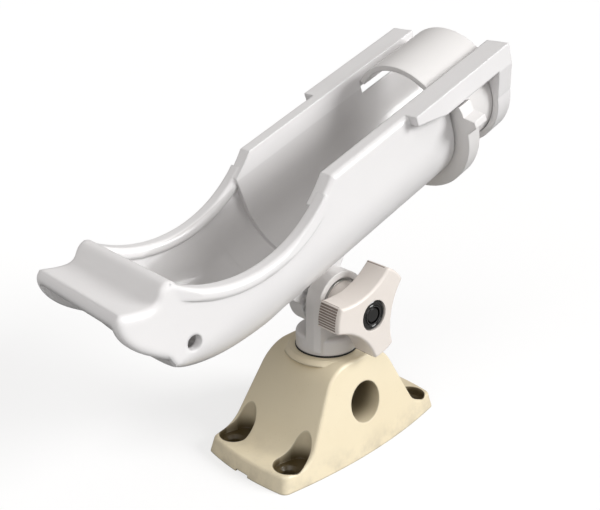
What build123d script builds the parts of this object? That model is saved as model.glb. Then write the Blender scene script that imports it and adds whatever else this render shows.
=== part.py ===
from build123d import *
import math
import os

# Adjustable fishing-rod holder: deck base, swivel stem, tilting open cradle and rotating lock collar.
#
# Row frame: millimetres, +Z up, origin on the deck plane at the centre of the four-screw pattern,
# +X along the base towards the high (front) end of the cradle. The clamp knob is on the -Y side.
# The cradle is drawn in its own frame (x along the trough, z up out of it, pivot axis on y at the
# origin) and then tilted about the pivot; stem, clamp and cradle share one rest swivel about Z.

# ---- rest position ------------------------------------------------------------------------
SWIVEL_REST = -3.0
TILT_REST = 21.8

# ---- base ---------------------------------------------------------------------------------
BASE_LENGTH = 110.0
BASE_WIDTH = 53.0
BASE_END_BOW = 2.7
BASE_SIDE_BOW = 5.1
BASE_CORNER = 4.0
BASE_DRAFT = 12.0
BASE_TOP = 47.4
FLANGE_THICKNESS = 8.0
TOWER_FOOT = 34.0
TOWER_FOOT_Z = 17.0
TOWER_SHOULDER = 25.5
TOWER_SHOULDER_Z = 33.0
FLANK_ROUND = 12.0
CROWN_ROUND = 18.0
BOSS_RISE = 2.2
BASE_EDGE_ROUND = 1.6

SCREW_SPACING_X = 90.0
SCREW_SPACING_Y = 37.6
SCREW_HOLE_RADIUS = 3.3
SCREW_SINK_RADIUS = 5.0
SCREW_SEAT_Z = 4.6
POCKET_RADIUS = 7.2
POCKET_REACH = 7.0
POCKET_TAIL_RADIUS = 5.6

SPINDLE_RADIUS = 9.9
SOCKET_CLEARANCE = 0.1
SIDE_SOCKET_Z = 25.5
SIDE_SOCKET_END_Y = -11.5
UNDER_RECESS_RADIUS = SPINDLE_RADIUS + 4.1
UNDER_RECESS_DEPTH = 9.0

# ---- stem ---------------------------------------------------------------------------------
NECK_RADIUS = 15.0
BOSS_RADIUS = NECK_RADIUS + 3.5
NECK_HEIGHT = 8.0
THRUST_RING = 0.8
PLATE_NEAR_Y = -9.8
PLATE_FAR_Y = -1.25
SPOT_FACE_RADIUS = 11.8
SPOT_FACE_DEPTH = 1.5
O_RING_WIRE = 1.3
O_RING_DEPTH = 7.4
O_RING_Z = BASE_TOP - O_RING_DEPTH
WAVE_WASHER = 1.2
RETAINING_WASHER = 1.6
RETAINING_WASHER_RADIUS = UNDER_RECESS_RADIUS - 0.7
RETAINING_SCREW_RADIUS = 3.0
RETAINING_SCREW_LENGTH = 16.0
RETAINING_HEAD_RADIUS = 5.6
RETAINING_HEAD_HEIGHT = 3.6

# ---- tilt joint ---------------------------------------------------------------------------
TEETH = 24
TOOTH_HEIGHT = 0.9
LUG_RADIUS = NECK_RADIUS
LUG_GAP = 2.1
PIVOT_HEIGHT = BASE_TOP + THRUST_RING + NECK_HEIGHT + LUG_RADIUS + LUG_GAP
LUG_NEAR_Y = 1.25
LUG_FAR_Y = 10.6
SPRING_POCKET_RADIUS = 7.4
TOOTH_INNER = SPRING_POCKET_RADIUS + 1.2
SPRING_POCKET_DEPTH = 1.6
SPRING_WIRE = 0.5
BOLT_RADIUS = 4.0
BOLT_CLEARANCE = 0.1
BOLT_HEAD_FLATS = 13.0
BOLT_HEAD_HEIGHT = 5.3
BOLT_POCKET_DEPTH = 4.6

# ---- clamp knob ---------------------------------------------------------------------------
WASHER_RADIUS = SPOT_FACE_RADIUS - 1.0
WASHER_THICKNESS = 1.6
KNOB_BOSS_RADIUS = SPOT_FACE_RADIUS - 1.6
KNOB_GAP = 2.8
KNOB_THICKNESS = 13.5
KNOB_BACK_Y = -NECK_RADIUS - KNOB_GAP
KNOB_FRONT_Y = KNOB_BACK_Y - KNOB_THICKNESS
BOLT_TIP_Y = KNOB_FRONT_Y + 0.7
KNOB_REACH = 22.8
KNOB_WAIST = 12.3
KNOB_LOBE_WIDTH = 12.5
KNOB_LOBE_ANGLE = 51.0
KNOB_RIBS = 9
KNOB_RIB_DEPTH = 0.55
KNOB_EDGE_ROUND = 1.3
NUT_RADIUS = 7.4
NUT_BACK_Y = KNOB_BACK_Y - 6.2
NUT_FRONT_Y = KNOB_FRONT_Y + 0.4

# ---- cradle -------------------------------------------------------------------------------
TUBE_RADIUS = 31.0
BORE_HEIGHT = TUBE_RADIUS + 22.5
BATH_RADIUS = TUBE_RADIUS - 4.5
RAIL_TOP = BORE_HEIGHT + 22.7
RAIL_START = 1.6
WALL_END = 75.0
FRONT_END = 118.0
BATH_FRONT = -10.0
HEEL_START = -42.0
HEEL_END = -96.0
BATH_HEEL_START = -38.0
BATH_END = -77.0
DIP_CENTRE_X = -37.0
DIP_RADIUS = 58.3
CREST_X = -80.0
CREST_Z = BORE_HEIGHT + 31.5
VISOR_TIP_X = -105.0
VISOR_TIP_Z = BORE_HEIGHT + 32.5
RIM_WIDTH = 8.0
RIM_PROUD = 1.3
RIM_HEIGHT = 5.5
RIM_ROUND = 2.3
RIM_RISE = 0.3
RIM_FRONT = -5.0
RIM_REAR = -83.0
RIM_FADE = 28.0
EDGE_ROUND = 2.5
SKIRT_WALL = 4.0
TETHER_HOLE_RADIUS = 3.3
TETHER_HOLE_AT = (-84.4, BORE_HEIGHT + 2.5)
LIP_START = 50.0
LIP_REACH = TUBE_RADIUS + 4.5
LIP_THICKNESS = 4.5
LIP_BOTTOM = BORE_HEIGHT + 13.0
WEB_REAR = -26.0
WEB_FRONT = 33.0
PAD_AT = -16.0
PAD_RADIUS = 11.0
PAD_HEIGHT = 2.2

# ---- lock collar --------------------------------------------------------------------------
SLEEVE_RADIUS = TUBE_RADIUS - 2.4
SLEEVE_WALL = 2.6
COLLAR_CLEARANCE = 0.3
LINER_RADIUS = SLEEVE_RADIUS - SLEEVE_WALL - COLLAR_CLEARANCE
LINER_WALL = 2.5
BORE_RADIUS = LINER_RADIUS - LINER_WALL
HOOP_LENGTH = 10.0
HOOP_LIP = 3.5
HOOP_RADIUS = SLEEVE_RADIUS + COLLAR_CLEARANCE + 3.1
COLLAR_FLANGE_RADIUS = TUBE_RADIUS + 7.5
COLLAR_FLANGE_LENGTH = 8.0
COLLAR_TRAVEL = 108.0
FLANGE_GAP = 0.47
COLLAR_FLANGE_TO = math.degrees(math.asin((LIP_BOTTOM - BORE_HEIGHT - FLANGE_GAP) / COLLAR_FLANGE_RADIUS))
COLLAR_FLANGE_FROM = COLLAR_TRAVEL + 1.0 - 180.0 - COLLAR_FLANGE_TO
SLOT_FROM = 143.0
SLOT_TO = 259.0
EAR_REACH = COLLAR_FLANGE_RADIUS + 5.5

CENTRED = (Align.CENTER, Align.CENTER, Align.MIN)


def cyl_z(radius, z0, z1, x=0.0, y=0.0):
    """Cylinder along z between two heights."""
    return Pos(x, y, z0) * Cylinder(radius, z1 - z0, align=CENTRED)


def cyl_y(radius, y0, y1, x=0.0, z=0.0):
    """Cylinder along y between two y values."""
    return Pos(x, max(y0, y1), z) * Rot(90, 0, 0) * Cylinder(radius, abs(y1 - y0), align=CENTRED)


def cyl_x(radius, x0, x1, y=0.0, z=0.0):
    """Cylinder along x between two x values."""
    return Pos(x0, y, z) * Rot(0, 90, 0) * Cylinder(radius, x1 - x0, align=CENTRED)


def block(x0, x1, y0, y1, z0, z1):
    """Box between six limits."""
    corner = (Align.MIN, Align.MIN, Align.MIN)
    return Pos(x0, y0, z0) * Box(x1 - x0, y1 - y0, z1 - z0, align=corner)


def side_prism(face, y0, y1):
    """Prism across y of a face drawn in x and z (as its x and y)."""
    return Pos(0, max(y0, y1), 0) * extrude(Plane.XZ * face, abs(y1 - y0))


def polygon(*points):
    """Face inside a closed polygon."""
    return make_face(Polyline(*points, close=True))


def hexagon_y(flats, y0, y1):
    """Hexagonal prism along y about the pivot axis."""
    shape = extrude(RegularPolygon(flats / 2, 6, major_radius=False), abs(y1 - y0))
    return Pos(0, max(y0, y1), 0) * Rot(90, 0, 0) * shape


def end_prism(face, x0, x1):
    """Prism along x of a face drawn in y and z (as its x and y)."""
    return Pos(x0, 0, 0) * extrude(Plane.YZ * face, x1 - x0)


def turned(shape):
    """Stem-side piece set at the rest swivel."""
    return Rot(0, 0, SWIVEL_REST) * shape


def at_pivot(shape):
    """Piece drawn about the pivot axis, set at the pivot height and the rest swivel."""
    return Rot(0, 0, SWIVEL_REST) * Pos(0, 0, PIVOT_HEIGHT) * shape


def on_cradle(shape):
    """Cradle-frame piece tilted about the pivot and set at the rest swivel."""
    return Rot(0, 0, SWIVEL_REST) * Pos(0, 0, PIVOT_HEIGHT) * Rot(0, -TILT_REST, 0) * shape


# ---- base ---------------------------------------------------------------------------------
def plan_outline(half_length, half_width, z):
    """Rectangle with bowed sides and rounded corners at one height."""
    side = half_width + BASE_SIDE_BOW
    end = half_length + BASE_END_BOW
    edges = [
        ThreePointArc((-half_length, -half_width), (0, -side), (half_length, -half_width)),
        ThreePointArc((half_length, -half_width), (end, 0), (half_length, half_width)),
        ThreePointArc((half_length, half_width), (0, side), (-half_length, half_width)),
        ThreePointArc((-half_length, half_width), (-end, 0), (-half_length, -half_width)),
    ]
    face = make_face(Wire(edges))
    return Pos(0, 0, z) * fillet(face.vertices(), BASE_CORNER)


def base_side_face():
    """Side view of the base: flat flange, hollow flanks, straight slopes and a rounded crown."""
    end = BASE_LENGTH / 2 + BASE_END_BOW + 1
    lean = (TOWER_FOOT - TOWER_SHOULDER) / (TOWER_SHOULDER_Z - TOWER_FOOT_Z)
    foot = TOWER_FOOT + lean * (TOWER_FOOT_Z - FLANGE_THICKNESS)
    crown = TOWER_FOOT - lean * (BASE_TOP - TOWER_FOOT_Z)
    half = [(end, 0), (end, FLANGE_THICKNESS), (foot, FLANGE_THICKNESS), (crown, BASE_TOP)]
    mirrored = [(-x, z) for x, z in reversed(half)]
    face = polygon(*half, *mirrored)
    feet = [v for v in face.vertices() if abs(abs(v.X) - foot) < 0.01]
    face = fillet(feet, FLANK_ROUND)
    crowns = [v for v in face.vertices() if abs(v.Y - BASE_TOP) < 0.01]
    return fillet(crowns, CROWN_ROUND)


def screw_places():
    """Centres of the four deck screws."""
    x, y = SCREW_SPACING_X / 2, SCREW_SPACING_Y / 2
    return [(sx * x, sy * y) for sx in (-1, 1) for sy in (-1, 1)]


def pocket_outline(inward):
    """Teardrop round a deck screw, its narrow end pointing into the tower's foot."""
    head = Circle(POCKET_RADIUS)
    tail = Pos(inward * POCKET_REACH, 0) * Circle(POCKET_TAIL_RADIUS)
    return make_hull(head.edges() + tail.edges())


def make_base_mount():
    """Moulded base: drafted and bowed block cut to the side profile, with sockets and screw pockets."""
    half_length, half_width = BASE_LENGTH / 2, BASE_WIDTH / 2
    lean = BASE_TOP * math.tan(math.radians(BASE_DRAFT))
    drafted = loft([
        plan_outline(half_length, half_width, 0),
        plan_outline(half_length - lean, half_width - lean, BASE_TOP),
    ])
    body = drafted & side_prism(base_side_face(), -half_width * 2, half_width * 2)
    rounded = [
        edge for edge in body.edges()
        if edge.center().Z > FLANGE_THICKNESS - 1 and abs(edge.center().Y) > 1
    ]
    body = fillet(rounded, BASE_EDGE_ROUND)
    boss = Pos(0, 0, BASE_TOP - BOSS_RISE) * Cone(
        BOSS_RADIUS + BOSS_RISE, BOSS_RADIUS, BOSS_RISE, align=CENTRED
    )
    body += boss & cyl_z(BASE_TOP, 0, BASE_TOP)
    sink = SCREW_SINK_RADIUS - SCREW_HOLE_RADIUS
    for x, y in screw_places():
        body -= Pos(x, y, SCREW_SEAT_Z) * extrude(pocket_outline(-math.copysign(1, x)), BASE_TOP)
        body -= Pos(x, y, SCREW_SEAT_Z - sink) * Cone(
            SCREW_HOLE_RADIUS, SCREW_SINK_RADIUS, sink, align=CENTRED
        )
        body -= cyl_z(SCREW_HOLE_RADIUS, -1, SCREW_SEAT_Z, x, y)
    socket = SPINDLE_RADIUS + SOCKET_CLEARANCE
    body -= cyl_z(socket, 0, BASE_TOP + 1)
    body -= cyl_z(UNDER_RECESS_RADIUS, -1, UNDER_RECESS_DEPTH)
    body -= cyl_y(socket, -half_width * 2, SIDE_SOCKET_END_Y, z=SIDE_SOCKET_Z)
    for sign in (-1, 1):
        notch_x = sign * (half_length + BASE_END_BOW)
        body -= block(notch_x - 3, notch_x + 3, -4, 4, -1, 1.2)
    return body


# ---- stem ---------------------------------------------------------------------------------
def face_teeth(root_y, crest_y):
    """Ring of radial ratchet teeth about the pivot axis, rising from root_y to crest_y."""
    pitch = 360 / TEETH
    half = TOOTH_INNER * math.radians(pitch) / 2
    sunk = root_y - math.copysign(0.3, crest_y - root_y)
    outline = polygon((sunk, -half), (root_y, -half), (crest_y, 0), (root_y, half), (sunk, half))
    tooth = end_prism(outline, TOOTH_INNER, LUG_RADIUS - 0.4)
    return [Rot(0, pitch * number, 0) * tooth for number in range(TEETH)]


def spindle_end():
    """Height of the spindle's lower end, flush with the wave washer."""
    return UNDER_RECESS_DEPTH - WAVE_WASHER


def make_stem_post():
    """Stem: round neck, clamp plate with spot-face and ratchet teeth, and the spindle below."""
    neck_bottom = BASE_TOP + THRUST_RING
    neck_top = neck_bottom + NECK_HEIGHT
    plate = block(-NECK_RADIUS, NECK_RADIUS, PLATE_NEAR_Y, PLATE_FAR_Y, neck_bottom, PIVOT_HEIGHT)
    plate += cyl_y(NECK_RADIUS, PLATE_NEAR_Y, PLATE_FAR_Y, z=PIVOT_HEIGHT)
    plate &= cyl_z(NECK_RADIUS + 1.5, neck_bottom + 2, PIVOT_HEIGHT + NECK_RADIUS)
    neck = cyl_z(NECK_RADIUS, neck_bottom, neck_top)
    neck = fillet(neck.edges().sort_by(Axis.Z)[-1], 1.5)
    body = neck + plate
    body -= cyl_y(SPOT_FACE_RADIUS, PLATE_NEAR_Y - 9, PLATE_NEAR_Y + SPOT_FACE_DEPTH, z=PIVOT_HEIGHT)
    for tooth in face_teeth(PLATE_FAR_Y, PLATE_FAR_Y + TOOTH_HEIGHT):
        body += Pos(0, 0, PIVOT_HEIGHT) * tooth
    body -= cyl_y(SPRING_POCKET_RADIUS, PLATE_FAR_Y - SPRING_POCKET_DEPTH, 0, z=PIVOT_HEIGHT)
    body -= cyl_y(BOLT_RADIUS + BOLT_CLEARANCE, PLATE_NEAR_Y, PLATE_FAR_Y, z=PIVOT_HEIGHT)
    body += cyl_z(SPINDLE_RADIUS, spindle_end(), neck_bottom)
    groove = cyl_z(SPINDLE_RADIUS + 1, O_RING_Z - O_RING_WIRE - 0.1, O_RING_Z + O_RING_WIRE + 0.1)
    body -= groove - cyl_z(SPINDLE_RADIUS - 2 * O_RING_WIRE, 0, BASE_TOP)
    body -= cyl_z(RETAINING_SCREW_RADIUS, spindle_end(), spindle_end() + RETAINING_SCREW_LENGTH + 1)
    return turned(body)


def make_neck_seal():
    """Thin flat ring between the neck's shoulder and the base."""
    ring = cyl_z(NECK_RADIUS + 0.3, BASE_TOP, BASE_TOP + THRUST_RING)
    return turned(ring - cyl_z(SPINDLE_RADIUS + SOCKET_CLEARANCE, 0, PIVOT_HEIGHT))


def make_post_o_ring():
    """Rubber ring in the spindle groove that takes up the play."""
    major = SPINDLE_RADIUS + SOCKET_CLEARANCE / 2 - O_RING_WIRE
    return turned(Pos(0, 0, O_RING_Z) * Torus(major, O_RING_WIRE))


def make_wave_washer():
    """Friction washer round the spindle end, under the base's inner ledge."""
    ring = cyl_z(RETAINING_WASHER_RADIUS, spindle_end(), UNDER_RECESS_DEPTH - 0.05)
    return turned(ring - cyl_z(SPINDLE_RADIUS + SOCKET_CLEARANCE, 0, BASE_TOP))


def make_retaining_washer():
    """Flat washer across the spindle end."""
    low = spindle_end() - RETAINING_WASHER
    disc = cyl_z(RETAINING_WASHER_RADIUS, low, spindle_end())
    return turned(disc - cyl_z(RETAINING_SCREW_RADIUS, 0, BASE_TOP))


def make_retaining_screw():
    """Pan-head screw that holds the washer on the spindle, with a cross recess."""
    seat = spindle_end() - RETAINING_WASHER
    head = cyl_z(RETAINING_HEAD_RADIUS, seat - RETAINING_HEAD_HEIGHT, seat)
    head = fillet(head.edges().sort_by(Axis.Z)[0], 1.8)
    depth = seat - RETAINING_HEAD_HEIGHT
    head -= block(-3, 3, -0.6, 0.6, depth, depth + 2)
    head -= block(-0.6, 0.6, -3, 3, depth, depth + 2)
    shank = cyl_z(RETAINING_SCREW_RADIUS, seat, spindle_end() + RETAINING_SCREW_LENGTH)
    return turned(head + chamfer(shank.edges().sort_by(Axis.Z)[-1], 0.8))


# ---- tilt joint and clamp ------------------------------------------------------------------
def make_release_spring():
    """Coil spring round the bolt that pushes the two toothed faces apart."""
    radius = SPRING_POCKET_RADIUS - SPRING_WIRE - 0.4
    reach = LUG_NEAR_Y + SPRING_POCKET_DEPTH - SPRING_WIRE - 0.3
    coil = Helix(pitch=reach, height=2 * reach, radius=radius)
    wire = sweep(Plane(coil @ 0, z_dir=coil % 0) * Circle(SPRING_WIRE), path=coil)
    return at_pivot(Pos(0, reach, 0) * Rot(90, 0, 0) * wire)


def make_pivot_bolt():
    """Hexagon bolt held in the lug's pocket; its threaded end passes through the knob."""
    seat = LUG_FAR_Y - BOLT_POCKET_DEPTH
    head = hexagon_y(BOLT_HEAD_FLATS, seat, seat + BOLT_HEAD_HEIGHT)
    shank = cyl_y(BOLT_RADIUS, BOLT_TIP_Y, seat)
    shank = chamfer(shank.edges().sort_by(Axis.Y)[0], 0.8)
    return on_cradle(head + shank)


def washer_seat():
    """Y of the spot-face floor that the thrust washer bears on."""
    return PLATE_NEAR_Y + SPOT_FACE_DEPTH


def make_thrust_washer():
    """Flat washer between the spot-face and the knob's boss."""
    disc = cyl_y(WASHER_RADIUS, washer_seat() - WASHER_THICKNESS, washer_seat())
    return at_pivot(disc - cyl_y(BOLT_RADIUS + BOLT_CLEARANCE, PLATE_NEAR_Y * 2, 0))


def knob_face():
    """Three-lobed outline: a disc with three wide hollows cut between the lobes."""
    half_lobe = math.asin(KNOB_LOBE_WIDTH / 2 / KNOB_REACH)
    beta = math.radians(60) - half_lobe
    across = KNOB_REACH * math.cos(beta)
    gap = KNOB_WAIST ** 2 + KNOB_REACH ** 2 - 2 * KNOB_WAIST * across
    hollow = gap / 2 / (across - KNOB_WAIST)
    face = Circle(KNOB_REACH)
    for number in range(3):
        angle = math.radians(KNOB_LOBE_ANGLE + 60 + 120 * number)
        centre = (KNOB_WAIST + hollow) * math.cos(angle), (KNOB_WAIST + hollow) * math.sin(angle)
        face -= Pos(*centre) * Circle(hollow)
    return fillet(face.vertices(), 0.8)


def make_knob():
    """Clamp knob: boss, three ribbed lobes and a round seat for the threaded insert."""
    body = side_prism(knob_face(), KNOB_FRONT_Y, KNOB_BACK_Y)
    body = fillet(body.edges().group_by(Axis.Y)[0], KNOB_EDGE_ROUND)
    body += cyl_y(KNOB_BOSS_RADIUS, KNOB_BACK_Y, washer_seat() - WASHER_THICKNESS)
    step = KNOB_LOBE_WIDTH / (KNOB_RIBS + 1)
    for lobe in range(3):
        for rib in range(KNOB_RIBS):
            aside = (rib - (KNOB_RIBS - 1) / 2) * step
            depth = math.sqrt(KNOB_REACH ** 2 - aside ** 2)
            groove = cyl_y(KNOB_RIB_DEPTH, KNOB_FRONT_Y + 2.4, KNOB_BACK_Y, x=depth, z=aside)
            body -= Rot(0, -KNOB_LOBE_ANGLE - 120 * lobe, 0) * groove
    body -= cyl_y(NUT_RADIUS + 0.05, KNOB_FRONT_Y - 1, NUT_BACK_Y)
    body -= cyl_y(BOLT_RADIUS + BOLT_CLEARANCE, NUT_BACK_Y, 0)
    return at_pivot(body)


def make_knob_nut():
    """Black threaded insert in the knob, dished round the bolt's end."""
    body = cyl_y(NUT_RADIUS, NUT_FRONT_Y, NUT_BACK_Y)
    body = fillet(body.edges().group_by(Axis.Y)[0], 1.2)
    dish = Pos(0, NUT_FRONT_Y, 0) * Rot(90, 0, 0) * Torus(NUT_RADIUS - 2.1, 0.7)
    body -= dish
    return at_pivot(body - cyl_y(BOLT_RADIUS + BOLT_CLEARANCE, KNOB_FRONT_Y, NUT_BACK_Y))


# ---- cradle -------------------------------------------------------------------------------
def trough_face(half_width, depth):
    """U-shaped outline in y and z: straight sides and a half-ellipse bottom."""
    top = RAIL_TOP + 20
    edges = [
        Line((half_width, BORE_HEIGHT), (half_width, top)),
        Line((half_width, top), (-half_width, top)),
        Line((-half_width, top), (-half_width, BORE_HEIGHT)),
        EllipticalCenterArc((0, BORE_HEIGHT), half_width, depth, start_angle=180, arc_size=180),
    ]
    return make_face(Wire(edges))


def heeled_trough(half_width, front, start, end, tail):
    """Trough of full depth from front to start, rising as a quarter ellipse to end, then level."""
    stations = [(start + 10, half_width), (start, half_width)]
    for angle in (14, 28, 42, 56, 68, 78):
        turn = math.radians(angle)
        stations.append((start + (end - start) * math.sin(turn), half_width * math.cos(turn)))
    sections = [Pos(x, 0, 0) * (Plane.YZ * trough_face(half_width, depth)) for x, depth in stations]
    last_x, last_depth = stations[-1]
    body = loft(sections) + end_prism(trough_face(half_width, half_width), start + 10, front)
    return body + end_prism(trough_face(half_width, last_depth), tail, last_x)


def dip_centre_z():
    """Height of the centre of the side dip's arc."""
    return RAIL_TOP + math.sqrt(DIP_RADIUS ** 2 - (RAIL_START - DIP_CENTRE_X) ** 2)


def dip_height(x):
    """Height of the trough's edge on the arc of the side dip."""
    return dip_centre_z() - math.sqrt(DIP_RADIUS ** 2 - (x - DIP_CENTRE_X) ** 2)


def edge_face():
    """Side view of the cradle: level rail, dipped side, rear crest, visor and skirt edge."""
    dip = ThreePointArc(
        (RAIL_START, RAIL_TOP),
        (DIP_CENTRE_X, dip_height(DIP_CENTRE_X)),
        (CREST_X, dip_height(CREST_X)),
    )
    crest = Spline(
        (CREST_X, dip_height(CREST_X)), (CREST_X - 4.5, CREST_Z), (CREST_X - 7.5, CREST_Z - 1.2),
        (CREST_X - 11, CREST_Z - 4), (CREST_X - 17, CREST_Z - 3.2), (VISOR_TIP_X, VISOR_TIP_Z),
    )
    skirt = Spline(
        (VISOR_TIP_X, VISOR_TIP_Z), (VISOR_TIP_X - 3, VISOR_TIP_Z - 2.5),
        (VISOR_TIP_X - 3.8, VISOR_TIP_Z - 8), (VISOR_TIP_X - 2, VISOR_TIP_Z - 14.5),
        (VISOR_TIP_X + 1.5, VISOR_TIP_Z - 20.5), (HEEL_END + 0.5, BORE_HEIGHT + 2),
    )
    edges = [
        Line((WALL_END, 0), (WALL_END, RAIL_TOP)),
        Line((WALL_END, RAIL_TOP), (RAIL_START, RAIL_TOP)),
        dip,
        crest,
        skirt,
        Line((HEEL_END + 0.5, BORE_HEIGHT + 2), (HEEL_END + 3, BORE_HEIGHT - 14)),
        Line((HEEL_END + 3, BORE_HEIGHT - 14), (HEEL_END + 3, 0)),
        Line((HEEL_END + 3, 0), (WALL_END, 0)),
    ]
    return make_face(Wire(edges))


def about_bore(shape):
    """Shape drawn about the trough's axis, moved to the trough's height."""
    return Pos(0, 0, BORE_HEIGHT) * shape


def make_lug():
    """Web and toothed disc under the trough, with the bolt's hexagon pocket on its far side."""
    web = polygon(
        (-LUG_RADIUS * 0.95, LUG_RADIUS * 0.3), (WEB_REAR, BORE_HEIGHT - TUBE_RADIUS + 1),
        (WEB_REAR, BORE_HEIGHT - BATH_RADIUS - 1), (WEB_FRONT, BORE_HEIGHT - BATH_RADIUS - 1),
        (WEB_FRONT, BORE_HEIGHT - TUBE_RADIUS + 1), (LUG_RADIUS * 0.88, LUG_RADIUS * 0.45),
        (0, 0),
    )
    lug = side_prism(web, LUG_NEAR_Y, LUG_FAR_Y) + cyl_y(LUG_RADIUS, LUG_NEAR_Y, LUG_FAR_Y)
    for tooth in face_teeth(LUG_NEAR_Y, LUG_NEAR_Y - TOOTH_HEIGHT):
        lug += tooth
    lug -= cyl_y(SPRING_POCKET_RADIUS, 0, LUG_NEAR_Y + SPRING_POCKET_DEPTH)
    lug -= cyl_y(BOLT_RADIUS + BOLT_CLEARANCE, 0, LUG_FAR_Y)
    seat = LUG_FAR_Y - BOLT_POCKET_DEPTH
    return lug - hexagon_y(BOLT_HEAD_FLATS + 2 * BOLT_CLEARANCE, seat, LUG_FAR_Y + 1)


def make_rims():
    """Rounded bead along both dipped edges, proud of the sides and fading out at its two ends."""
    middle = TUBE_RADIUS + RIM_PROUD - RIM_WIDTH / 2
    reach = DIP_RADIUS - RIM_RISE + RIM_HEIGHT / 2
    rear = math.degrees(math.asin((DIP_CENTRE_X - RIM_REAR) / DIP_RADIUS))
    front = math.degrees(math.asin((RIM_FRONT - DIP_CENTRE_X) / DIP_RADIUS))
    section = Plane.YZ * (Pos(middle, -reach) * RectangleRounded(RIM_WIDTH, RIM_HEIGHT, RIM_ROUND))
    bead = revolve(Rot(0, -front, 0) * section, Axis.Y, front + rear)
    bead = Pos(DIP_CENTRE_X, 0, dip_centre_z()) * bead
    outer = TUBE_RADIUS + RIM_PROUD
    flush = TUBE_RADIUS - 0.2
    plan = polygon(
        (RIM_FRONT + 1, flush), (RIM_FRONT - RIM_FADE, outer), (RIM_REAR + 9, outer),
        (RIM_REAR - 1, flush), (RIM_REAR - 1, 0), (RIM_FRONT + 1, 0),
    )
    bead &= extrude(plan, CREST_Z + 10)
    return [bead, mirror(bead, Plane.XZ)]


def skirt_hollow():
    """Open space under the visor, between the bath's rear wall and the skirt's edge."""
    under = VISOR_TIP_Z - SKIRT_WALL
    side = polygon(
        (BATH_END - SKIRT_WALL, CREST_Z - 4 - SKIRT_WALL), (CREST_X - 17, CREST_Z - 3.5 - SKIRT_WALL),
        (VISOR_TIP_X - 1, under), (VISOR_TIP_X - 15, under), (VISOR_TIP_X - 15, BORE_HEIGHT + 1),
        (HEEL_END - 1, BORE_HEIGHT + 1), (BATH_END - SKIRT_WALL, BORE_HEIGHT - 4),
    )
    half = TUBE_RADIUS - SKIRT_WALL
    hollow = side_prism(side, -half, half)
    return fillet(hollow.edges().filter_by(Axis.Y), 1.5)


def make_front():
    """Lips, arms and hoop that carry the lock collar, and the liner that it turns round."""
    bore = SLEEVE_RADIUS + COLLAR_CLEARANCE
    side = polygon(
        (LIP_START, RAIL_TOP), (FRONT_END, RAIL_TOP), (FRONT_END, LIP_BOTTOM),
        (WALL_END - 6, LIP_BOTTOM), (LIP_START, RAIL_TOP - LIP_THICKNESS),
    )
    body = side_prism(side, BORE_RADIUS, LIP_REACH) + side_prism(side, -LIP_REACH, -BORE_RADIUS)
    hoop_start = FRONT_END - HOOP_LENGTH
    body += about_bore(cyl_x(HOOP_RADIUS, hoop_start, FRONT_END))
    shoulder = polygon(
        (-LIP_REACH, LIP_BOTTOM + 1), (LIP_REACH, LIP_BOTTOM + 1), (LIP_REACH, LIP_BOTTOM - 0.5),
        (HOOP_RADIUS + 0.2, BORE_HEIGHT - 1.5), (-HOOP_RADIUS - 0.2, BORE_HEIGHT - 1.5),
        (-LIP_REACH, LIP_BOTTOM - 0.5),
    )
    body += end_prism(shoulder, hoop_start, FRONT_END)
    body -= about_bore(cyl_x(bore, WALL_END, FRONT_END - HOOP_LIP))
    return body + about_bore(cyl_x(LINER_RADIUS, WALL_END - 1, FRONT_END - HOOP_LIP / 2))


def make_cradle_body():
    """Open trough with dipped sides, rear heel and visor, front collar seat and the pivot lug."""
    outer = heeled_trough(TUBE_RADIUS, WALL_END, HEEL_START, HEEL_END, VISOR_TIP_X - 8)
    body = outer & side_prism(edge_face(), -TUBE_RADIUS * 2, TUBE_RADIUS * 2)
    low = dip_height(DIP_CENTRE_X) - 1
    flanks = [
        edge for edge in body.edges()
        if edge.center().Z > low and abs(edge.center().Y) > TUBE_RADIUS - 1
        and edge.center().X < WALL_END - 1
    ]
    body = fillet(flanks, EDGE_ROUND)
    body += make_front()
    body += make_lug()
    channel = end_prism(trough_face(BORE_RADIUS, BORE_RADIUS), BATH_FRONT - 12, FRONT_END + 1)
    bath = heeled_trough(BATH_RADIUS, BATH_FRONT, BATH_HEEL_START, BATH_END, BATH_END - 1.5)
    floor = BORE_HEIGHT - BATH_RADIUS
    bath -= cyl_z(PAD_RADIUS, floor - 1, floor + PAD_HEIGHT, PAD_AT)
    body -= channel
    body -= bath
    for bead in make_rims():
        body += bead
    body -= skirt_hollow()
    tether_x, tether_z = TETHER_HOLE_AT
    body -= cyl_y(TETHER_HOLE_RADIUS, -TUBE_RADIUS * 2, TUBE_RADIUS * 2, tether_x, tether_z)
    return on_cradle(body)


# ---- lock collar --------------------------------------------------------------------------
def sector(start, stop, x0, x1):
    """Wedge about the trough's axis between two angles, counted from -Y over the top."""
    steps = [math.radians(start + (stop - start) * k / 6) for k in range(7)]
    reach = EAR_REACH * 2
    points = [(-reach * math.cos(turn), reach * math.sin(turn)) for turn in steps]
    return end_prism(polygon((0, 0), *points), x0, x1)


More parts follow.
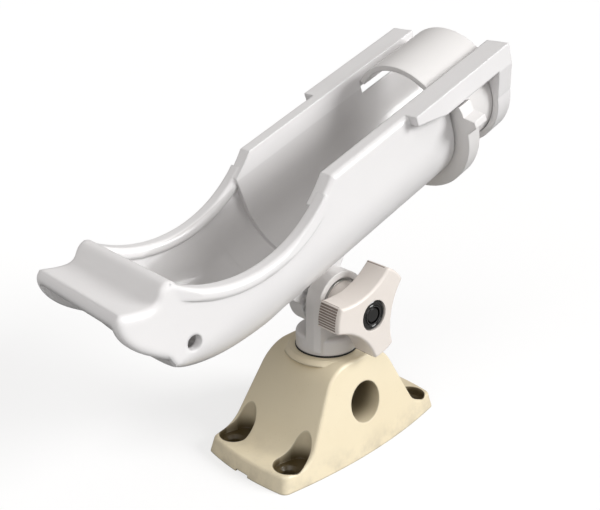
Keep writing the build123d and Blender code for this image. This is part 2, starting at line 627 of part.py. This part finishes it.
def make_lock_collar():
    """Slotted sleeve with a part flange and a thumb ear; turning it opens the top of the ring."""
    start, end = WALL_END + 0.4, FRONT_END - HOOP_LIP - COLLAR_CLEARANCE
    flange_start, flange_end = WALL_END + 1, WALL_END + 1 + COLLAR_FLANGE_LENGTH
    sleeve = cyl_x(SLEEVE_RADIUS, start, end) - sector(SLOT_FROM, SLOT_TO, start - 1, end + 1)
    flange = cyl_x(COLLAR_FLANGE_RADIUS, flange_start, flange_end)
    flange &= sector(COLLAR_FLANGE_FROM, COLLAR_FLANGE_TO, flange_start, flange_end)
    ear = polygon(
        (1 - SLEEVE_RADIUS, 9.8), (-EAR_REACH + 0.6, 6.1), (-EAR_REACH, 3), (-COLLAR_FLANGE_RADIUS, -1.4),
        (1 - SLEEVE_RADIUS, -6),
    )
    body = sleeve + flange + end_prism(ear, flange_start, flange_end)
    body -= cyl_x(SLEEVE_RADIUS - SLEEVE_WALL, start - 1, end + 1)
    return on_cradle(about_bore(body))


PIECES = {
    "base_mount": make_base_mount,
    "neck_seal": make_neck_seal,
    "stem_post": make_stem_post,
    "post_o_ring": make_post_o_ring,
    "post_wave_washer": make_wave_washer,
    "post_washer": make_retaining_washer,
    "post_screw": make_retaining_screw,
    "pivot_bolt": make_pivot_bolt,
    "release_spring": make_release_spring,
    "thrust_washer": make_thrust_washer,
    "clamp_knob": make_knob,
    "knob_insert": make_knob_nut,
    "cradle_body": make_cradle_body,
    "lock_collar": make_lock_collar,
}

if __name__ == "__main__":
    os.makedirs("parts", exist_ok=True)
    for node, make in PIECES.items():
        export_step(make(), f"parts/{node}.step")
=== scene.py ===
"""Looks of the adjustable rod holder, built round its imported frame.

The frame's own meshes show every shape. Each sub-assembly is a class that dresses the nodes it owns,
and each finish is a frozen dataclass with its sizes in metres. The studio is a class of its own.
"""

import logging
import math
from dataclasses import dataclass
from enum import Enum
from functools import cached_property

import bpy
import numpy as np
from mathutils import Matrix, Vector

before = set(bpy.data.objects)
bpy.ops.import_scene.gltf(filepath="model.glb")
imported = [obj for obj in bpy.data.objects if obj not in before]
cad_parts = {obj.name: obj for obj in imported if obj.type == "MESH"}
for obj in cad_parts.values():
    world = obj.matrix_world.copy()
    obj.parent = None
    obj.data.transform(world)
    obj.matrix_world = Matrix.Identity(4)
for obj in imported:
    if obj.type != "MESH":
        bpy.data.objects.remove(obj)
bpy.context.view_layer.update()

log = logging.getLogger("rod_holder")

Colour = tuple[float, float, float]
Output = bpy.types.NodeSocket
# A span is two values, at the start and at the end of a smooth step.
Span = tuple[float, float]

# Angles at which the frame stands at rest, and the tilt pivot's height in metres.
SWIVEL = math.radians(-3.0)
TILT = math.radians(21.8)
PIVOT_HEIGHT = 0.0733

NONE_TO_FULL: Span = (0.0, 1.0)


class Socket(Enum):
    """Kinds of node-group socket."""

    VALUE = "NodeSocketFloat"
    COLOUR = "NodeSocketColor"
    VECTOR = "NodeSocketVector"


# ---- noise patterns -------------------------------------------------------------------------
@dataclass(frozen=True)
class Pattern:
    """Noise pattern: features per metre, octaves, the share that each octave keeps, and its mask's rise."""

    scale: float
    detail: float
    roughness: float
    rise: Span = NONE_TO_FULL


TONE_DRIFT = Pattern(scale=22.0, detail=4.0, roughness=0.55, rise=(0.35, 0.7))
FINE_SPECKS = Pattern(scale=950.0, detail=2.0, roughness=0.4, rise=(0.68, 0.76))
SPECK_PATCHES = Pattern(scale=70.0, detail=2.0, roughness=0.5, rise=(0.45, 0.65))
SPARK_GRAIN = Pattern(scale=2400.0, detail=2.0, roughness=0.5)
PEEL_SWELL = Pattern(scale=190.0, detail=2.0, roughness=0.45)
RUBBED_GLOSS = Pattern(scale=55.0, detail=5.0, roughness=0.6, rise=(0.3, 0.72))
HAIR_LINES = Pattern(scale=900.0, detail=3.0, roughness=0.6, rise=(0.55, 0.72))
DECK_BLOTS = Pattern(scale=120.0, detail=4.0, roughness=0.6, rise=(0.35, 0.7))
FLOOR_CLOUDS = Pattern(scale=3.0, detail=2.0, roughness=0.5)


# ---- node helpers ---------------------------------------------------------------------------
def opaque(colour: Colour) -> tuple[float, float, float, float]:
    """The colour with an alpha of 1."""
    return (*colour, 1.0)


@dataclass
class Tree:
    """Thin wrapper on a node tree that adds nodes and links them."""

    nodes: bpy.types.Nodes
    links: bpy.types.NodeLinks

    def add(self, kind: str, **settings: object) -> bpy.types.Node:
        """Add a node.

        Args:
            kind: node type name.
            settings: attributes to set on it.

        Returns:
            The new node.
        """
        node = self.nodes.new(kind)
        for key, value in settings.items():
            setattr(node, key, value)
        return node

    def feed(self, node: bpy.types.Node, **values: object) -> bpy.types.Node:
        """Set or link a node's inputs.

        Args:
            node: the node to feed.
            values: a constant or an output socket for each input. The input goes by its name, with
                underscores for spaces, or by its place as i0, i1 and so on.

        Returns:
            The same node.
        """
        for key, value in values.items():
            by_place = key[0] == "i" and key[1:].isdigit()
            target = node.inputs[int(key[1:]) if by_place else key.replace("_", " ")]
            if isinstance(value, Output):
                self.links.new(value, target)
            else:
                target.default_value = value
        return node

    def math(self, operation: str, first: object, second: object = 0.0, third: object = 0.0) -> Output:
        """Arithmetic on constants or sockets with a Math node's operation; unread values stay 0."""
        node = self.add("ShaderNodeMath", operation=operation)
        return self.feed(node, i0=first, i1=second, i2=third).outputs[0]

    def product(self, *factors: object) -> Output:
        """Multiply values.

        Args:
            factors: two or more constants or sockets.

        Returns:
            The product socket.
        """
        result = factors[0]
        for factor in factors[1:]:
            result = self.math("MULTIPLY", result, factor)
        return result

    def length(self, first: Output, second: Output) -> Output:
        """Length of a vector with two parts: the root of the sum of their squares."""
        squares = self.math("ADD", self.product(first, first), self.product(second, second))
        return self.math("SQRT", squares)

    def blend(self, share: object, first: object, second: object) -> Output:
        """Mix two colours.

        Args:
            share: 0 gives the first colour, 1 the second.
            first: colour or socket.
            second: colour or socket.

        Returns:
            The mixed colour socket.
        """
        node = self.add("ShaderNodeMix", data_type="RGBA")
        one, other = (value if isinstance(value, Output) else opaque(value) for value in (first, second))
        colour_output = 2
        return self.feed(node, i0=share, i6=one, i7=other).outputs[colour_output]

    def ramp(self, value: Output, span: Span, shares: Span = NONE_TO_FULL) -> Output:
        """Smooth step of a value.

        Args:
            value: socket to remap.
            span: values where the step starts and ends.
            shares: results at its start and its end.

        Returns:
            The remapped socket.
        """
        node = self.add("ShaderNodeMapRange", interpolation_type="SMOOTHSTEP")
        self.feed(node, i0=value, i1=span[0], i2=span[1], i3=shares[0], i4=shares[1])
        return node.outputs[0]

    def noise(self, where: Output, pattern: Pattern) -> Output:
        """Fractal noise of a position.

        Args:
            where: position socket.
            pattern: size and detail of the noise.

        Returns:
            The noise value socket.
        """
        node = self.add("ShaderNodeTexNoise")
        self.feed(node, Vector=where, Scale=pattern.scale)
        return self.feed(node, Detail=pattern.detail, Roughness=pattern.roughness).outputs[0]

    def mask(self, where: Output, pattern: Pattern, shares: Span = NONE_TO_FULL) -> Output:
        """Smooth step of a noise pattern over its rise, from the first share to the second."""
        return self.ramp(self.noise(where, pattern), pattern.rise, shares)

    def parts(self, vector: Output) -> bpy.types.NodeOutputs:
        """The x, y and z sockets of a vector."""
        return self.feed(self.add("ShaderNodeSeparateXYZ"), Vector=vector).outputs

    def mapped(self, where: Output, **change: tuple[float, float, float]) -> Output:
        """Position changed by a Mapping node's Location, Rotation or Scale."""
        return self.feed(self.add("ShaderNodeMapping"), Vector=where, **change).outputs[0]

    def from_pivot(self, where: Output) -> Output:
        """Position measured from the tilt pivot, with the swivel's angle undone."""
        return self.mapped(where, Rotation=(0.0, 0.0, -SWIVEL), Location=(0.0, 0.0, -PIVOT_HEIGHT))

    def bump(self, height: Output, depth: float, normal: Output) -> Output:
        """Surface direction bumped by a height, where 1 stands for the depth in metres."""
        node = self.add("ShaderNodeBump")
        return self.feed(node, Strength=1.0, Distance=depth, Height=height, Normal=normal).outputs[0]


class GroupDraft:
    """A shader node group while it is drawn."""

    def __init__(self, name: str, inputs: dict[str, Socket], outputs: dict[str, Socket]) -> None:
        """Open the group with its sockets.

        Args:
            name: group name.
            inputs: input names and kinds.
            outputs: output names and kinds.
        """
        self.group = bpy.data.node_groups.new(name, "ShaderNodeTree")
        for side, sockets in (("INPUT", inputs), ("OUTPUT", outputs)):
            for label, kind in sockets.items():
                self.group.interface.new_socket(name=label, in_out=side, socket_type=kind.value)
        self.tree = Tree(self.group.nodes, self.group.links)
        entry = self.tree.add("NodeGroupInput")
        self.given = {label: entry.outputs[label] for label in inputs}
        self.leave = self.tree.add("NodeGroupOutput")

    def close(self, **results: Output) -> bpy.types.NodeTree:
        """Feed the outputs, named with underscores for spaces, and give the group."""
        self.tree.feed(self.leave, **results)
        return self.group


class GroupLibrary:
    """Shader node groups shared by the finishes, each built once, when it is first asked for."""

    @cached_property
    def mottle(self) -> bpy.types.NodeTree:
        """Colour that drifts slowly over the moulding, with sparse fine specks.

        Returns:
            Group with inputs Position, Tone, Drift Tone, Speck Tone, Drift, Specks and output Colour.
        """
        draft = GroupDraft(
            "mottle",
            {"Position": Socket.VECTOR, "Tone": Socket.COLOUR, "Drift Tone": Socket.COLOUR,
             "Speck Tone": Socket.COLOUR, "Drift": Socket.VALUE, "Specks": Socket.VALUE},
            {"Colour": Socket.COLOUR},
        )
        tree, given = draft.tree, draft.given
        slow = tree.mask(given["Position"], TONE_DRIFT)
        tone = tree.blend(tree.product(slow, given["Drift"]), given["Tone"], given["Drift Tone"])
        fine = tree.mask(given["Position"], FINE_SPECKS)
        patch = tree.mask(given["Position"], SPECK_PATCHES)
        spots = tree.product(fine, patch, given["Specks"])
        return draft.close(Colour=tree.blend(spots, tone, given["Speck Tone"]))

    @cached_property
    def moulded_skin(self) -> bpy.types.NodeTree:
        """Height of a moulded skin: fine spark grain on top of a slow orange-peel swell.

        Returns:
            Group with inputs Position, Grain, Swell and outputs Height, Gloss Change.
        """
        draft = GroupDraft(
            "moulded_skin",
            {"Position": Socket.VECTOR, "Grain": Socket.VALUE, "Swell": Socket.VALUE},
            {"Height": Socket.VALUE, "Gloss Change": Socket.VALUE},
        )
        tree, given = draft.tree, draft.given
        grain = tree.product(tree.noise(given["Position"], SPARK_GRAIN), given["Grain"])
        swell = tree.product(tree.noise(given["Position"], PEEL_SWELL), given["Swell"])
        rub = tree.mask(given["Position"], RUBBED_GLOSS, shares=(-0.5, 0.5))
        return draft.close(Height=tree.math("ADD", grain, swell), Gloss_Change=rub)

    @cached_property
    def soft_edges(self) -> bpy.types.NodeTree:
        """Rounded look of every corner, and a mask of where the corner is.

        The mask rises as the rounded direction leaves the true one, by the cosine between them.

        Returns:
            Group with input Edge Radius and outputs Edge Normal, Edge Mask.
        """
        draft = GroupDraft(
            "soft_edges",
            {"Edge Radius": Socket.VALUE},
            {"Edge Normal": Socket.VECTOR, "Edge Mask": Socket.VALUE},
        )
        tree = draft.tree
        bevel = tree.feed(tree.add("ShaderNodeBevel", samples=6), Radius=draft.given["Edge Radius"])
        geometry = tree.add("ShaderNodeNewGeometry")
        dot = tree.add("ShaderNodeVectorMath", operation="DOT_PRODUCT")
        tree.feed(dot, i0=bevel.outputs[0], i1=geometry.outputs["Normal"])
        corner = tree.ramp(dot.outputs["Value"], span=(0.999, 0.8))
        return draft.close(Edge_Normal=bevel.outputs[0], Edge_Mask=corner)

    @cached_property
    def fine_lines(self) -> bpy.types.NodeTree:
        """Hair-thin lines from a position stretched along them, used for brushing and rubbing marks.

        Returns:
            Group with inputs Position, Strength and outputs Lines, Height.
        """
        draft = GroupDraft(
            "fine_lines",
            {"Position": Socket.VECTOR, "Strength": Socket.VALUE},
            {"Lines": Socket.VALUE, "Height": Socket.VALUE},
        )
        tree, given = draft.tree, draft.given
        thin = tree.noise(given["Position"], HAIR_LINES)
        lines = tree.ramp(thin, HAIR_LINES.rise)
        return draft.close(Lines=tree.product(lines, given["Strength"]),
                           Height=tree.product(thin, given["Strength"]))


GROUPS = GroupLibrary()


class MaterialDraft:
    """A material while it is drawn: its tree, its shader and its object coordinates."""

    def __init__(self, name: str) -> None:
        """Open the material.

        Args:
            name: material name.
        """
        self.material = bpy.data.materials.new(name)
        self.material.use_nodes = True
        self.tree = Tree(self.material.node_tree.nodes, self.material.node_tree.links)
        self.shader = self.tree.nodes["Principled BSDF"]
        self.where = self.tree.add("ShaderNodeTexCoord").outputs["Object"]

    def place(self, group: bpy.types.NodeTree, **values: object) -> bpy.types.NodeOutputs:
        """Put a group in the material, feed it by input names, and give its outputs."""
        return self.tree.feed(self.tree.add("ShaderNodeGroup", node_tree=group), **values).outputs

    def close(self, **values: object) -> bpy.types.Material:
        """Feed the shader's inputs, named with underscores for spaces, and give the material."""
        self.tree.feed(self.shader, **values)
        return self.material


# ---- finishes ---------------------------------------------------------------------------------
@dataclass(frozen=True)
class MouldedNylon:
    """Glossy or satin moulded plastic with soft corners, whose radius may change along X at the rear."""

    name: str
    tone: Colour
    drift_tone: Colour
    speck_tone: Colour
    edge_tone: Colour
    drift: float = 0.5
    specks: float = 0.2
    edge_share: float = 0.35
    edge_radius: float = 0.0011
    rear_edge_radius: float = 0.0011
    rear_end: Span = (-0.095, -0.112)
    roughness: float = 0.32
    rough_change: float = 0.05
    grain: float = 0.25
    swell: float = 0.8
    depth: float = 0.00006
    coat: float = 0.25
    coat_roughness: float = 0.12
    refraction: float = 1.5
    scuffs: float = 0.0
    scuff_stretch: float = 0.05
    scuff_height: float = 0.5

    def shade(self, tree: Tree, where: Output, colour: Output) -> Output:
        """Leave the colour as it is; a moulding with marks of its own has its own shade."""
        return colour

    def material(self) -> bpy.types.Material:
        """Build the node material.

        Returns:
            The finished material.
        """
        draft = MaterialDraft(self.name)
        tree, where = draft.tree, draft.where
        mottle = draft.place(
            GROUPS.mottle, Position=where, Tone=opaque(self.tone), Drift_Tone=opaque(self.drift_tone),
            Speck_Tone=opaque(self.speck_tone), Drift=self.drift, Specks=self.specks,
        )
        skin = draft.place(GROUPS.moulded_skin, Position=where, Grain=self.grain, Swell=self.swell)
        along = tree.parts(where)[0]
        radius = tree.ramp(along, self.rear_end, (self.edge_radius, self.rear_edge_radius))
        edges = draft.place(GROUPS.soft_edges, Edge_Radius=radius)
        worn = tree.product(edges["Edge Mask"], self.edge_share)
        colour = tree.blend(worn, mottle["Colour"], self.edge_tone)
        rough = tree.math("MULTIPLY_ADD", skin["Gloss Change"], self.rough_change, self.roughness)
        height = skin["Height"]
        if self.scuffs:
            turned = tree.mapped(where, Rotation=(0.0, TILT, -SWIVEL), Scale=(self.scuff_stretch, 1.0, 1.0))
            marks = draft.place(GROUPS.fine_lines, Position=turned, Strength=self.scuffs)
            rough = tree.math("ADD", rough, marks["Lines"])
            height = tree.math("ADD", height, tree.product(marks["Height"], self.scuff_height))
        return draft.close(
            Base_Color=self.shade(tree, where, colour), Roughness=rough,
            Normal=tree.bump(height, self.depth, edges["Edge Normal"]),
            Coat_Weight=self.coat, Coat_Roughness=self.coat_roughness, IOR=self.refraction,
        )


@dataclass(frozen=True)
class DeckNylon(MouldedNylon):
    """Base moulding: dirt low down, and painted shade inside its pockets and socket."""

    grime: float = 0.35
    grime_rise: Span = (0.014, 0.0)
    grime_tone: Colour = (0.35, 0.31, 0.24)
    # Painted shade: near-black brown laid inside the screw pockets and the side socket.
    hollow_shade_tone: Colour = (0.06, 0.038, 0.008)
    screw_x: float = 0.045
    screw_y: float = 0.0188
    pocket_reach: float = 0.007
    pocket_taper: float = 0.23
    pocket_wall: Span = (0.0076, 0.0073)
    pocket_depth: Span = (0.014, 0.0045)
    pocket_shade_shares: Span = (0.3, 0.98)
    socket_height: float = 0.0255
    socket_wall: Span = (0.0103, 0.01005)
    socket_depth: Span = (-0.0285, -0.016)
    socket_shade_shares: Span = (0.15, 0.85)
    socket_end: Span = (-0.011, -0.0114)

    def shade(self, tree: Tree, where: Output, colour: Output) -> Output:
        """Add dirt near the deck and paint shade into the screw pockets and the side socket.

        With a = |x| - screw x, b = |y| - screw y and i = min(max(-a, 0), reach), the distance from the
        pocket's middle line is sqrt((a + i)^2 + b^2) + taper * i. From the side socket's axis it is
        sqrt(x^2 + (z - height)^2). Each is turned into a mask just outside its wall.

        Args:
            tree: the material's tree.
            where: object coordinates.
            colour: colour so far.

        Returns:
            The colour to use.
        """
        x, y, z = tree.parts(where)
        blot = tree.mask(where, DECK_BLOTS)
        darkening = tree.product(tree.ramp(z, self.grime_rise), blot, self.grime)
        colour = tree.blend(darkening, colour, self.grime_tone)
        # Painted shade in the screw pockets, by distance from each pocket's middle line.
        beyond = tree.math("SUBTRACT", tree.math("ABSOLUTE", x), self.screw_x)
        across = tree.math("SUBTRACT", tree.math("ABSOLUTE", y), self.screw_y)
        inward = tree.math("MAXIMUM", tree.product(beyond, -1.0), 0.0)
        inward = tree.math("MINIMUM", inward, self.pocket_reach)
        away = tree.length(tree.math("ADD", beyond, inward), across)
        away = tree.math("ADD", away, tree.product(inward, self.pocket_taper))
        pocket = tree.product(tree.ramp(away, self.pocket_wall),
                              tree.ramp(z, self.pocket_depth, self.pocket_shade_shares))
        colour = tree.blend(pocket, colour, self.hollow_shade_tone)
        # Painted shade in the side socket, by distance from its axis.
        above = tree.math("SUBTRACT", z, self.socket_height)
        socket_shade = tree.product(tree.ramp(tree.length(x, above), self.socket_wall),
                            tree.ramp(y, self.socket_depth, self.socket_shade_shares),
                            tree.ramp(y, self.socket_end))
        return tree.blend(socket_shade, colour, self.hollow_shade_tone)


@dataclass(frozen=True)
class TroughNylon(MouldedNylon):
    """Cradle moulding: painted shade inside the trough, greyer towards its floor."""

    # Painted shade: grey laid on the trough's inner walls, stronger towards its floor.
    trough_shade_tone: Colour = (0.40, 0.385, 0.375)
    bore_height: float = 0.0535
    inner_wall: Span = (0.0272, 0.0266)
    inner_depth: Span = (0.022, -0.012)
    trough_shade_shares: Span = (0.15, 0.6)

    def shade(self, tree: Tree, where: Output, colour: Output) -> Output:
        """Paint grey shade on the surfaces that lie inside the trough.

        With y and z measured from the trough's axis, sqrt(y^2 + z^2) is below the wall's span only on
        the inner walls, and the share of painted shade grows as z falls.

        Args:
            tree: the material's tree.
            where: object coordinates.
            colour: colour so far.

        Returns:
            The colour to use.
        """
        local = tree.mapped(tree.from_pivot(where), Rotation=(0.0, TILT, 0.0),
                            Location=(0.0, 0.0, -self.bore_height))
        _, y, z = tree.parts(local)
        # Painted shade on the inner walls of the trough.
        inside = tree.ramp(tree.length(y, z), self.inner_wall)
        share = tree.product(inside, tree.ramp(z, self.inner_depth, self.trough_shade_shares))
        return tree.blend(share, colour, self.trough_shade_tone)


@dataclass(frozen=True)
class RibbedNylon(MouldedNylon):
    """Knob moulding: painted shade in the grooves of the lobe ends."""

    # Painted shade: dark red-brown laid in the rib grooves of the lobe ends.
    groove_shade_tone: Colour = (0.16, 0.11, 0.09)
    groove_shade_share: float = 0.85
    groove_top: Span = (0.02268, 0.0224)
    groove_floor: Span = (0.022, 0.0222)
    rib_front: Span = (-0.0289, -0.0285)

    def shade(self, tree: Tree, where: Output, colour: Output) -> Output:
        """Paint shade on what lies a little under the lobe's end face.

        The mask is a band of distance from the bolt's axis: none on the end face, full in the grooves
        and none below their floors. It stops at the front of the ribs.

        Args:
            tree: the material's tree.
            where: object coordinates.
            colour: colour so far.

        Returns:
            The colour to use.
        """
        x, y, z = tree.parts(tree.from_pivot(where))
        out = tree.length(x, z)
        band = tree.product(tree.ramp(out, self.groove_top), tree.ramp(out, self.groove_floor))
        # Painted shade: the groove band, up to the front of the ribs.
        darkening = tree.product(band, tree.ramp(y, self.rib_front), self.groove_shade_share)
        return tree.blend(darkening, colour, self.groove_shade_tone)


@dataclass(frozen=True)
class TurnedMetal:
    """Metal, lacquer or rubber with fine lines round its axis or along it."""

    name: str
    tone: Colour
    metallic: float = 1.0
    roughness: float = 0.3
    lines: float = 0.25
    line_stretch: tuple[float, float, float] = (1.0, 3.0, 1.0)
    line_tint: float = 0.4
    edge_radius: float = 0.0003
    edge_tone: Colour = (0.8, 0.8, 0.8)
    edge_share: float = 0.3
    depth: float = 0.00002
    coat: float = 0.0

    def material(self) -> bpy.types.Material:
        """Build the node material.

        Returns:
            The finished material.
        """
        draft = MaterialDraft(self.name)
        tree = draft.tree
        turned = tree.mapped(draft.where, Rotation=(0.0, 0.0, -SWIVEL), Scale=self.line_stretch)
        marks = draft.place(GROUPS.fine_lines, Position=turned, Strength=self.lines)
        edges = draft.place(GROUPS.soft_edges, Edge_Radius=self.edge_radius)
        worn = tree.product(edges["Edge Mask"], self.edge_share)
        tone = tree.blend(tree.product(marks["Lines"], self.line_tint), self.tone, self.edge_tone)
        return draft.close(
            Base_Color=tree.blend(worn, tone, self.edge_tone),
            Roughness=tree.math("ADD", marks["Lines"], self.roughness),
            Normal=tree.bump(marks["Height"], self.depth, edges["Edge Normal"]),
            Metallic=self.metallic, Coat_Weight=self.coat,
        )


@dataclass(frozen=True)
class PlainFloor:
    """Pale studio floor, lit a little more for the camera than for the object."""

    name: str = "studio_floor"
    tone: Colour = (0.35, 0.35, 0.35)
    cloud_tone: Colour = (0.33, 0.33, 0.33)
    cloud_share: float = 0.1
    glow: float = 0.66
    glow_tone: Colour = (1.0, 1.0, 1.0)
    roughness: float = 0.95

    def material(self) -> bpy.types.Material:
        """Build the node material.

        Returns:
            The finished material.
        """
        draft = MaterialDraft(self.name)
        tree = draft.tree
        clouds = tree.product(tree.noise(draft.where, FLOOR_CLOUDS), self.cloud_share)
        seen = tree.product(tree.add("ShaderNodeLightPath").outputs["Is Camera Ray"], self.glow)
        return draft.close(
            Base_Color=tree.blend(clouds, self.tone, self.cloud_tone), Emission_Strength=seen,
            Emission_Color=opaque(self.glow_tone), Roughness=self.roughness, Specular_IOR_Level=0.0,
        )


WHITE_NYLON = TroughNylon(
    name="white_nylon", tone=(0.82, 0.81, 0.81), drift_tone=(0.775, 0.765, 0.765),
    speck_tone=(0.6, 0.6, 0.58), edge_tone=(0.9, 0.9, 0.9), specks=0.04, scuffs=0.02, roughness=0.3,
    swell=0.6, rear_edge_radius=0.0035,
)
COLLAR_NYLON = MouldedNylon(
    name="collar_nylon", tone=(0.80, 0.785, 0.775), drift_tone=(0.75, 0.735, 0.725),
    speck_tone=(0.6, 0.6, 0.58), edge_tone=(0.9, 0.9, 0.9), specks=0.03, roughness=0.34,
    swell=0.5, edge_radius=0.0009,
)
STEM_NYLON = MouldedNylon(
    name="stem_nylon", tone=(0.78, 0.76, 0.745), drift_tone=(0.72, 0.70, 0.685),
    speck_tone=(0.5, 0.5, 0.48), edge_tone=(0.86, 0.86, 0.86), specks=0.1, roughness=0.36,
    edge_radius=0.0009,
)
KNOB_NYLON = RibbedNylon(
    name="knob_nylon", tone=(0.78, 0.725, 0.675), drift_tone=(0.72, 0.66, 0.61),
    speck_tone=(0.5, 0.45, 0.4), edge_tone=(0.87, 0.83, 0.79), specks=0.1, roughness=0.42,
    edge_radius=0.0008, grain=0.6, coat=0.1,
)
CREAM_NYLON = DeckNylon(
    name="cream_nylon", tone=(0.79, 0.70, 0.51), drift_tone=(0.73, 0.63, 0.44),
    speck_tone=(0.45, 0.38, 0.22), edge_tone=(0.88, 0.80, 0.60), specks=0.2, roughness=0.42,
    grain=0.5, coat=0.12,
)
BLACK_METAL = TurnedMetal(
    name="black_metal", tone=(0.004, 0.0035, 0.003), metallic=0.0, roughness=0.14, lines=0.05,
    edge_tone=(0.25, 0.25, 0.26), edge_share=0.25, coat=0.6,
)
STAINLESS = TurnedMetal(name="stainless", tone=(0.58, 0.58, 0.57), roughness=0.3)
BLACK_RUBBER = TurnedMetal(
    name="black_rubber", tone=(0.02, 0.02, 0.02), metallic=0.0, roughness=0.7, lines=0.1,
    edge_tone=(0.08, 0.08, 0.08),
)


# ---- surfaces ---------------------------------------------------------------------------------
def show(name: str, data: bpy.types.ID) -> bpy.types.Object:
    """Make an object of some data and link it to the scene.

    Args:
        name: object name.
        data: mesh, light or camera.

    Returns:
        The new object.
    """
    made = bpy.data.objects.new(name, data)
    bpy.context.scene.collection.objects.link(made)
    return made


def sheet_mesh(name: str, points: np.ndarray) -> bpy.types.Object:
    """Mesh from a grid of points.

    A vertex (i, j) of the grid joins (i+1, j), (i+1, j+1) and (i, j+1) in one face.

    Args:
        name: object name.
        points: array of shape (n, m, 3), metres.

    Returns:
        The new smooth-shaded object, linked to the scene.
    """
    place = np.arange(points.shape[0] * points.shape[1]).reshape(points.shape[:2])
    corners = np.stack([place[:-1, :-1], place[1:, :-1], place[1:, 1:], place[:-1, 1:]], axis=-1)
    mesh = bpy.data.meshes.new(name)
    mesh.from_pydata(points.reshape(-1, 3).tolist(), [], corners.reshape(-1, 4).tolist())
    mesh.polygons.foreach_set("use_smooth", np.ones(len(mesh.polygons), dtype=bool))
    mesh.update()
    return show(name, mesh)


# ---- studio -----------------------------------------------------------------------------------
@dataclass(frozen=True)
class Sun:
    """Distant soft light.

    It has a direction from the object, a strength in watts per square metre, and an angular size in
    degrees, which sets how soft its shadows are.
    """

    name: str
    towards: tuple[float, float, float]
    strength: float
    spread: float

    def build(self) -> None:
        """Add the light."""
        data = bpy.data.lights.new(self.name, "SUN")
        data.energy = self.strength
        data.angle = math.radians(self.spread)
        made = show(self.name, data)
        made.rotation_mode = "QUATERNION"
        made.rotation_quaternion = Vector(self.towards).to_track_quat("Z", "Y")


@dataclass
class Studio:
    """Camera, lights, floor and sky, with lengths in metres, angles in degrees and the lens in mm."""

    eye: tuple[float, float, float] = (-0.28714, -0.26707, 0.24933)
    heading: float = 44.79
    drop: float = 21.62
    roll: float = -0.21
    lens: float = 53.69
    sensor_width: float = 36.0
    farthest: float = 100.0
    floor_half: float = 40.0
    floor_height: float = -0.0002
    key: Sun = Sun(name="key", towards=(0.45, -0.78, 0.47), strength=2.8, spread=28.0)
    kicker: Sun = Sun(name="kicker", towards=(-0.65, -0.35, 0.68), strength=1.05, spread=50.0)
    sky_tone: Colour = (1.0, 0.965, 0.94)
    sky_strength: float = 0.36

    def camera(self) -> None:
        """Place the camera."""
        data = bpy.data.cameras.new("camera")
        data.lens = self.lens
        data.sensor_fit = "HORIZONTAL"
        data.sensor_width = self.sensor_width
        data.clip_end = self.farthest
        made = show("camera", data)
        heading, drop = math.radians(self.heading), math.radians(self.drop)
        level = math.cos(drop)
        ahead = Vector((math.cos(heading) * level, math.sin(heading) * level, -math.sin(drop)))
        turn = ahead.to_track_quat("-Z", "Y").to_matrix().to_4x4()
        roll = Matrix.Rotation(math.radians(self.roll), 4, "Z")
        made.matrix_world = Matrix.Translation(self.eye) @ turn @ roll
        bpy.context.scene.camera = made

    def floor(self) -> None:
        """Lay the floor under the base."""
        side = np.linspace(-self.floor_half, self.floor_half, 3)
        x, y = np.meshgrid(side, side, indexing="ij")
        made = sheet_mesh("floor", np.stack([x, y, np.full_like(x, self.floor_height)], axis=-1))
        made.data.materials.append(PlainFloor().material())

    def sky(self) -> None:
        """Light the scene evenly from all round."""
        world = bpy.data.worlds.new("studio")
        world.use_nodes = True
        back = world.node_tree.nodes["Background"]
        back.inputs["Color"].default_value = opaque(self.sky_tone)
        back.inputs["Strength"].default_value = self.sky_strength
        bpy.context.scene.world = world

    def build(self) -> None:
        """Set up the whole studio."""
        self.camera()
        self.key.build()
        self.kicker.build()
        self.floor()
        self.sky()
        bpy.context.scene.view_settings.view_transform = "Standard"
        bpy.context.scene.view_settings.look = "None"


# ---- sub-assemblies -----------------------------------------------------------------------------
def dress(node: str, material: bpy.types.Material) -> None:
    """Give a frame node its finish.

    Args:
        node: name of the node.
        material: finish to show.
    """
    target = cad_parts[node]
    if target.material_slots:
        for slot in target.material_slots:
            slot.material = material
    else:
        target.data.materials.append(material)
    log.info("dressed %s in %s", node, material.name)


@dataclass
class BaseAssembly:
    """Deck base."""

    finish: MouldedNylon = CREAM_NYLON

    def build(self) -> None:
        """Dress the base."""
        dress("base_mount", self.finish.material())


@dataclass
class StemAssembly:
    """Swivel stem with its seals and retaining hardware."""

    finish: MouldedNylon = STEM_NYLON

    def build(self) -> None:
        """Dress the stem and what turns with it."""
        dress("stem_post", self.finish.material())
        steel = STAINLESS.material()
        rubber = BLACK_RUBBER.material()
        for node in ("post_wave_washer", "post_washer", "post_screw"):
            dress(node, steel)
        for node in ("neck_seal", "post_o_ring"):
            dress(node, rubber)


@dataclass
class ClampAssembly:
    """Bolt, spring, washer, insert and knob of the tilt clamp."""

    finish: MouldedNylon = KNOB_NYLON

    def build(self) -> None:
        """Dress the clamp's pieces."""
        dress("clamp_knob", self.finish.material())
        black = BLACK_METAL.material()
        steel = STAINLESS.material()
        for node in ("knob_insert", "pivot_bolt"):
            dress(node, black)
        for node in ("thrust_washer", "release_spring"):
            dress(node, steel)


@dataclass
class CradleAssembly:
    """Trough and the collar that closes over it."""

    body_finish: MouldedNylon = WHITE_NYLON
    collar_finish: MouldedNylon = COLLAR_NYLON

    def build(self) -> None:
        """Dress the trough and the collar."""
        dress("cradle_body", self.body_finish.material())
        dress("lock_collar", self.collar_finish.material())


def main() -> None:
    """Build every sub-assembly in order."""
    logging.basicConfig(level=logging.INFO, format="%(name)s: %(message)s")
    Studio().build()
    for part in (BaseAssembly(), StemAssembly(), ClampAssembly(), CradleAssembly()):
        part.build()
        log.info("finished %s", type(part).__name__)


if __name__ == "__main__":
    main()
